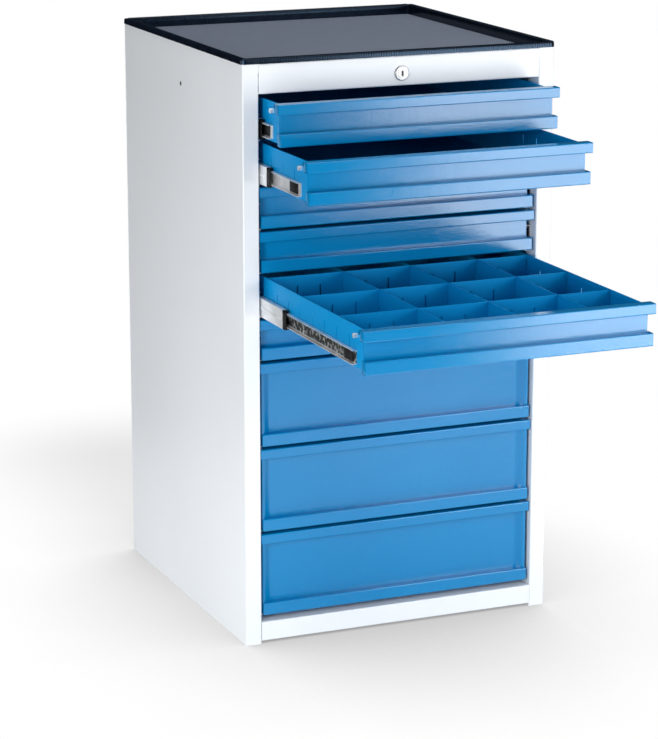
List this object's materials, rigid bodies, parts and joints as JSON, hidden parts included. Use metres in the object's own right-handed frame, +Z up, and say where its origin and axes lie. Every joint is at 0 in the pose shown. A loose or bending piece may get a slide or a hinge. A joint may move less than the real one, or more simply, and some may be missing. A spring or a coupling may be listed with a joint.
{
  "type": "drawer cabinet",
  "caption": "Free-standing steel drawer cabinet with drawers on telescopic slides, a key lock in the header and a tray top with a ribbed mat.",
  "frame": {"origin": "on the floor, under the middle of the body", "axes": "+Z up, -Y towards the user who opens the drawers, +X to that user's right"},
  "size_m": [0.574, 1.019, 1.009],
  "materials": {
    "carcass_paint": "satin light grey powder coat",
    "drawer_paint": "light blue powder coat with fine orange peel",
    "zinc_steel": "bright zinc plated steel",
    "tray_plastic": "black, glossy",
    "mat_rubber": "grey, fine ribs",
    "lock_chrome": "polished",
    "guide_plastic": "black, moulded"
  },
  "bodies": {
    "carcass": {"side_panel_left": "carcass_paint", "side_panel_right": "carcass_paint", "header_rail": "carcass_paint", "base_panel": "carcass_paint", "back_panel": "carcass_paint", "base_frame": "carcass_paint", "top_panel": "carcass_paint", "rear_columns": "carcass_paint", "tray_floor": "tray_plastic", "tray_rim": "tray_plastic", "top_mat": "mat_rubber", "slide_members_cabinet": "zinc_steel", "lock_housing": "lock_chrome", "lock_guides": "guide_plastic"},
    "drawer_1": {"drawer_1_front": "drawer_paint", "drawer_1_tray": "drawer_paint", "drawer_1_slides": "zinc_steel"},
    "middle_1": {"drawer_1_middle_slides": "zinc_steel"},
    "drawer_2": {"drawer_2_front": "drawer_paint", "drawer_2_tray": "drawer_paint", "drawer_2_slides": "zinc_steel"},
    "middle_2": {"drawer_2_middle_slides": "zinc_steel"},
    "drawer_3": {"drawer_3_front": "drawer_paint", "drawer_3_tray": "drawer_paint", "drawer_3_slides": "zinc_steel"},
    "middle_3": {"drawer_3_middle_slides": "zinc_steel"},
    "drawer_4": {"drawer_4_front": "drawer_paint", "drawer_4_tray": "drawer_paint", "drawer_4_slides": "zinc_steel"},
    "middle_4": {"drawer_4_middle_slides": "zinc_steel"},
    "drawer_5": {"drawer_5_front": "drawer_paint", "drawer_5_tray": "drawer_paint", "drawer_5_slides": "zinc_steel", "cross_dividers": "drawer_paint", "length_dividers": "drawer_paint"},
    "middle_5": {"drawer_5_middle_slides": "zinc_steel"},
    "drawer_6": {"drawer_6_front": "drawer_paint", "drawer_6_tray": "drawer_paint", "drawer_6_slides": "zinc_steel"},
    "middle_6": {"drawer_6_middle_slides": "zinc_steel"},
    "drawer_7": {"drawer_7_front": "drawer_paint", "drawer_7_tray": "drawer_paint", "drawer_7_slides": "zinc_steel"},
    "middle_7": {"drawer_7_middle_slides": "zinc_steel"},
    "drawer_8": {"drawer_8_front": "drawer_paint", "drawer_8_tray": "drawer_paint", "drawer_8_slides": "zinc_steel"},
    "middle_8": {"drawer_8_middle_slides": "zinc_steel"},
    "drawer_9": {"drawer_9_front": "drawer_paint", "drawer_9_tray": "drawer_paint", "drawer_9_slides": "zinc_steel"},
    "middle_9": {"drawer_9_middle_slides": "zinc_steel"},
    "lock": {"lock_plug": "lock_chrome", "lock_cam": "zinc_steel"},
    "transfer": {"transfer_bar": "zinc_steel"},
    "lock_bar": {"lock_bar": "zinc_steel", "lock_catches": "zinc_steel"}
  },
  "joints": [
    {"name": "drawer_1_slide", "type": "slide", "parent": "carcass", "child": "drawer_1", "axis": [0, -1, 0], "range_m": [-0.087, 0.393]},
    {"name": "middle_1_slide", "type": "slide", "parent": "carcass", "child": "middle_1", "axis": [0, -1, 0], "range_m": [-0.0261, 0.1179]},
    {"name": "drawer_2_slide", "type": "slide", "parent": "carcass", "child": "drawer_2", "axis": [0, -1, 0], "range_m": [-0.208, 0.272]},
    {"name": "middle_2_slide", "type": "slide", "parent": "carcass", "child": "middle_2", "axis": [0, -1, 0], "range_m": [-0.0624, 0.0816]},
    {"name": "drawer_3_slide", "type": "slide", "parent": "carcass", "child": "drawer_3", "axis": [0, -1, 0], "range_m": [0, 0.48]},
    {"name": "middle_3_slide", "type": "slide", "parent": "carcass", "child": "middle_3", "axis": [0, -1, 0], "range_m": [0, 0.144]},
    {"name": "drawer_4_slide", "type": "slide", "parent": "carcass", "child": "drawer_4", "axis": [0, -1, 0], "range_m": [0, 0.48]},
    {"name": "middle_4_slide", "type": "slide", "parent": "carcass", "child": "middle_4", "axis": [0, -1, 0], "range_m": [0, 0.144]},
    {"name": "drawer_5_slide", "type": "slide", "parent": "carcass", "child": "drawer_5", "axis": [0, -1, 0], "range_m": [-0.431, 0.049]},
    {"name": "middle_5_slide", "type": "slide", "parent": "carcass", "child": "middle_5", "axis": [0, -1, 0], "range_m": [-0.1293, 0.0147]},
    {"name": "drawer_6_slide", "type": "slide", "parent": "carcass", "child": "drawer_6", "axis": [0, -1, 0], "range_m": [0, 0.48]},
    {"name": "middle_6_slide", "type": "slide", "parent": "carcass", "child": "middle_6", "axis": [0, -1, 0], "range_m": [0, 0.144]},
    {"name": "drawer_7_slide", "type": "slide", "parent": "carcass", "child": "drawer_7", "axis": [0, -1, 0], "range_m": [0, 0.48]},
    {"name": "middle_7_slide", "type": "slide", "parent": "carcass", "child": "middle_7", "axis": [0, -1, 0], "range_m": [0, 0.144]},
    {"name": "drawer_8_slide", "type": "slide", "parent": "carcass", "child": "drawer_8", "axis": [0, -1, 0], "range_m": [0, 0.48]},
    {"name": "middle_8_slide", "type": "slide", "parent": "carcass", "child": "middle_8", "axis": [0, -1, 0], "range_m": [0, 0.144]},
    {"name": "drawer_9_slide", "type": "slide", "parent": "carcass", "child": "drawer_9", "axis": [0, -1, 0], "range_m": [0, 0.48]},
    {"name": "middle_9_slide", "type": "slide", "parent": "carcass", "child": "middle_9", "axis": [0, -1, 0], "range_m": [0, 0.144]},
    {"name": "lock_turn", "type": "hinge", "parent": "carcass", "child": "lock", "pos_m": [0, -0.295, 0.971], "axis": [0, 1, 0], "range_deg": [0, 90]},
    {"name": "transfer_slide", "type": "slide", "parent": "carcass", "child": "transfer", "axis": [-1, 0, 0], "range_m": [0, 0.01132]},
    {"name": "lock_bar_slide", "type": "slide", "parent": "carcass", "child": "lock_bar", "axis": [0, 0, 1], "range_m": [0, 0.009]}
  ],
  "couplings": [
    {"joint": "middle_1_slide", "follows": "drawer_1_slide", "ratio": 0.3},
    {"joint": "middle_2_slide", "follows": "drawer_2_slide", "ratio": 0.3},
    {"joint": "middle_3_slide", "follows": "drawer_3_slide", "ratio": 0.3},
    {"joint": "middle_4_slide", "follows": "drawer_4_slide", "ratio": 0.3},
    {"joint": "middle_5_slide", "follows": "drawer_5_slide", "ratio": 0.3},
    {"joint": "middle_6_slide", "follows": "drawer_6_slide", "ratio": 0.3},
    {"joint": "middle_7_slide", "follows": "drawer_7_slide", "ratio": 0.3},
    {"joint": "middle_8_slide", "follows": "drawer_8_slide", "ratio": 0.3},
    {"joint": "middle_9_slide", "follows": "drawer_9_slide", "ratio": 0.3},
    {"joint": "transfer_slide", "follows": "lock_bar_slide", "ratio": 1.2571},
    {"joint": "lock_turn", "follows": "lock_bar_slide", "rad_per_m": 174.53}
  ]
}
